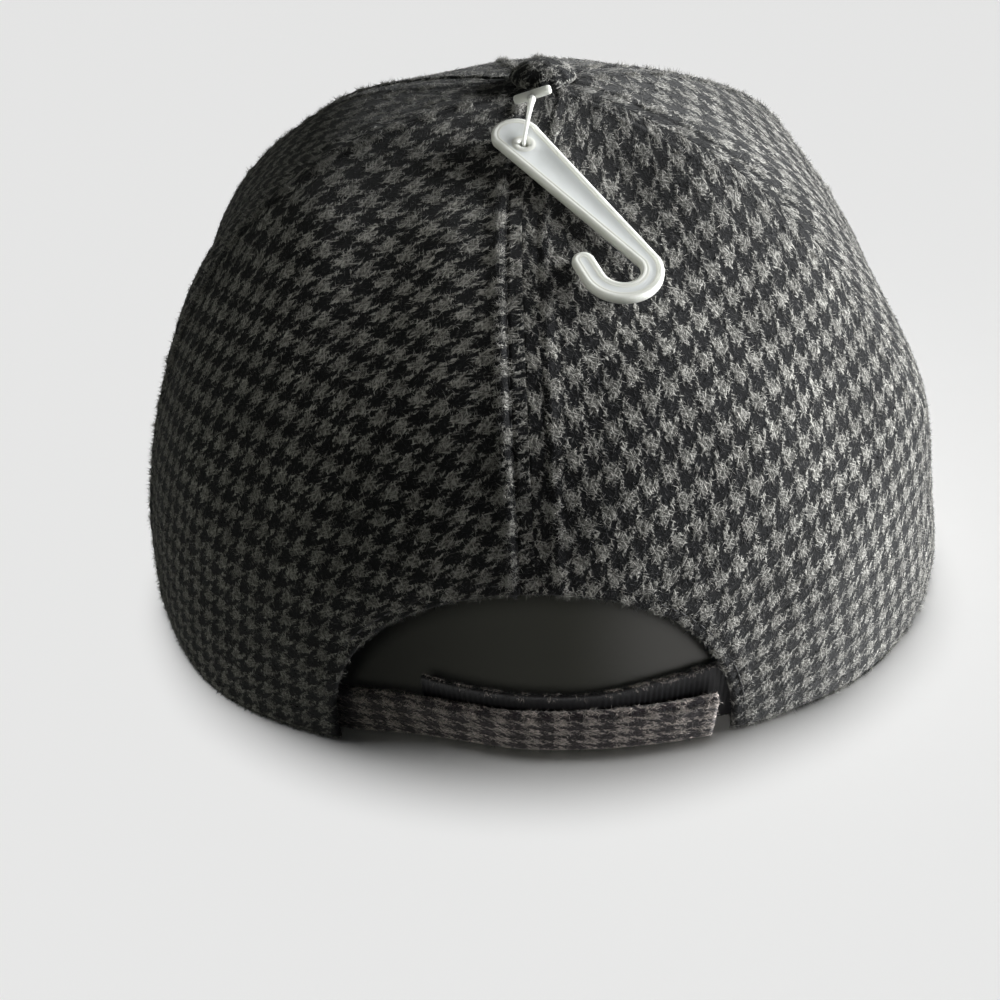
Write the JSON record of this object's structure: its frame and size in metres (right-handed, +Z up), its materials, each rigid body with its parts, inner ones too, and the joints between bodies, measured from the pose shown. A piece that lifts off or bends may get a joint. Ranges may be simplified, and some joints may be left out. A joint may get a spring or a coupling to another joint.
{
  "type": "baseball cap",
  "caption": "Panelled houndstooth wool cap with curved peak, covered button, arched back opening closed by a hook-and-loop strap, and a flat plastic display hook.",
  "frame": {"origin": "middle of the cap's length and width, on the surface that the cap rests on", "axes": "+Z up, +X towards the wearer's left, -Y towards the tip of the peak and +Y towards the back opening"},
  "size_m": [0.182, 0.2602, 0.113],
  "materials": {
    "crown_cloth": "brushed wool houndstooth",
    "button_cloth": "brushed wool houndstooth",
    "peak_cloth": "brushed wool houndstooth",
    "strap_cloth": "brushed wool houndstooth",
    "strap_tape": "ribbed hook-and-loop tape",
    "hook_plastic": "milky translucent",
    "pin_plastic": "milky translucent"
  },
  "bodies": {
    "root": {"crown_back_left": "crown_cloth", "crown_side_left": "crown_cloth", "crown_front_left": "crown_cloth", "crown_front_right": "crown_cloth", "crown_side_right": "crown_cloth", "crown_back_right": "crown_cloth", "top_button": "button_cloth", "peak": "peak_cloth", "upper_strap": "strap_cloth", "under_strap": "strap_tape", "display_hook": "hook_plastic", "hook_pin": "pin_plastic"}
  },
  "joints": []
}
